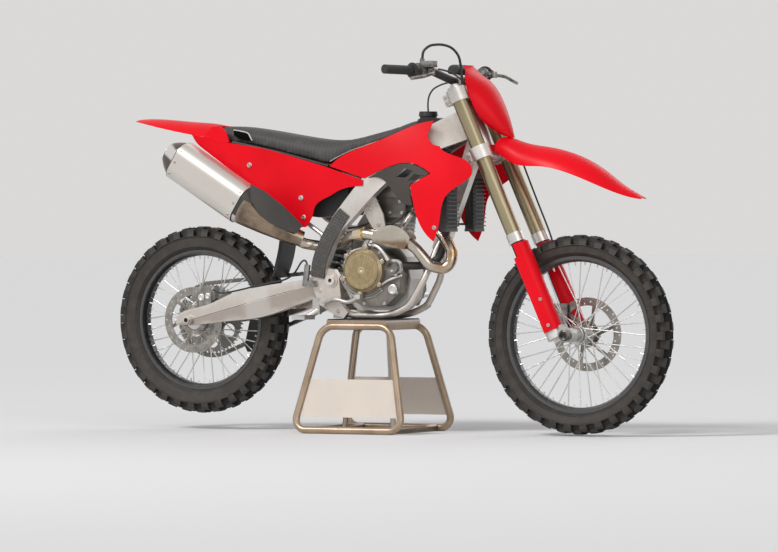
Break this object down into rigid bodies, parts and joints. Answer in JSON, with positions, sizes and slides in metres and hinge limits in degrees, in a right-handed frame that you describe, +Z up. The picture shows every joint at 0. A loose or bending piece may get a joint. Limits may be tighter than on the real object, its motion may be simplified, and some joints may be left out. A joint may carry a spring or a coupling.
{
  "type": "motocross bike on paddock stand",
  "caption": "Off-road motorcycle with knobbly tyres, wire wheels, telescopic fork and open engine, standing on a tubular paddock stand.",
  "frame": {"origin": "on the floor under the middle of the bike, where the stand's feet rest", "axes": "+X forward to the front wheel, +Y to the rider's left, +Z up"},
  "size_m": [2.1652, 0.83, 1.3572],
  "materials": {
    "frame_alloy": "satin, brushed",
    "guard_black": "woven texture",
    "case_alloy": "cast",
    "cover_gold": "satin bronze coat",
    "header_metal": "heat tinted",
    "can_metal": "satin",
    "shield_black": "satin",
    "black_plastic": "moulded",
    "shock_metal": "satin",
    "chain_steel": "oiled",
    "steel": "forged",
    "red_plastic": "gloss moulded",
    "grey_plastic": "satin moulded",
    "seat_vinyl": "ribbed grip cover",
    "hose_rubber": "matt",
    "radiator_black": "finned",
    "stand_tube": "satin bronze coat",
    "mat_rubber": "matt",
    "stand_panel": "satin cream coat",
    "fork_gold": "champagne anodised",
    "fork_metal": "satin",
    "bar_black": "satin",
    "grip_rubber": "waffle",
    "pad_foam": "vinyl over foam",
    "tyre_rubber": "knobbly",
    "rim_black": "black anodised",
    "spoke_steel": "bright",
    "disc_steel": "ground",
    "sprocket_alloy": "satin"
  },
  "bodies": {
    "chassis": {"frame": "frame_alloy", "frame_guards": "guard_black", "swingarm": "frame_alloy", "engine": "case_alloy", "clutch_cover": "cover_gold", "cylinder": "case_alloy", "exhaust_pipe": "header_metal", "muffler": "can_metal", "heat_shield": "shield_black", "subframe": "frame_alloy", "airbox": "black_plastic", "shock": "shock_metal", "mud_flap": "black_plastic", "chain": "chain_steel", "chain_guide": "black_plastic", "rear_brake": "case_alloy", "foot_controls": "steel", "shrouds": "red_plastic", "shroud_panels": "grey_plastic", "side_panels": "red_plastic", "rear_fender": "red_plastic", "seat": "seat_vinyl", "fuel_tank": "black_plastic", "vent_hose": "hose_rubber", "radiators": "radiator_black", "stand_frame": "stand_tube", "stand_mat": "mat_rubber", "stand_panels": "stand_panel"},
    "steering": {"triple_clamps": "frame_alloy", "fork_tubes": "fork_gold", "fork_lowers": "fork_metal", "fork_guards": "red_plastic", "handlebar": "bar_black", "grips": "grip_rubber", "bar_pad": "pad_foam", "hand_controls": "case_alloy", "throttle_cables": "hose_rubber", "number_plate": "red_plastic", "front_fender": "red_plastic", "front_caliper": "case_alloy"},
    "front_wheel": {"front_tyre": "tyre_rubber", "front_rim": "rim_black", "front_hub": "spoke_steel", "front_disc": "disc_steel"},
    "rear_wheel": {"rear_tyre": "tyre_rubber", "rear_rim": "rim_black", "rear_hub": "spoke_steel", "rear_disc": "disc_steel", "rear_sprocket": "sprocket_alloy"}
  },
  "joints": [
    {"name": "steering", "type": "hinge", "parent": "chassis", "child": "steering", "pos_m": [0.324, 0, 1.105], "axis": [-0.4099, 0, 0.9121], "range_deg": [-42, 42]},
    {"name": "front_wheel_spin", "type": "hinge", "parent": "steering", "child": "front_wheel", "pos_m": [0.738, 0, 0.35], "axis": [0, 1, 0], "continuous": true},
    {"name": "rear_wheel_spin", "type": "hinge", "parent": "chassis", "child": "rear_wheel", "pos_m": [-0.75, 0, 0.392], "axis": [0, 1, 0], "continuous": true}
  ]
}
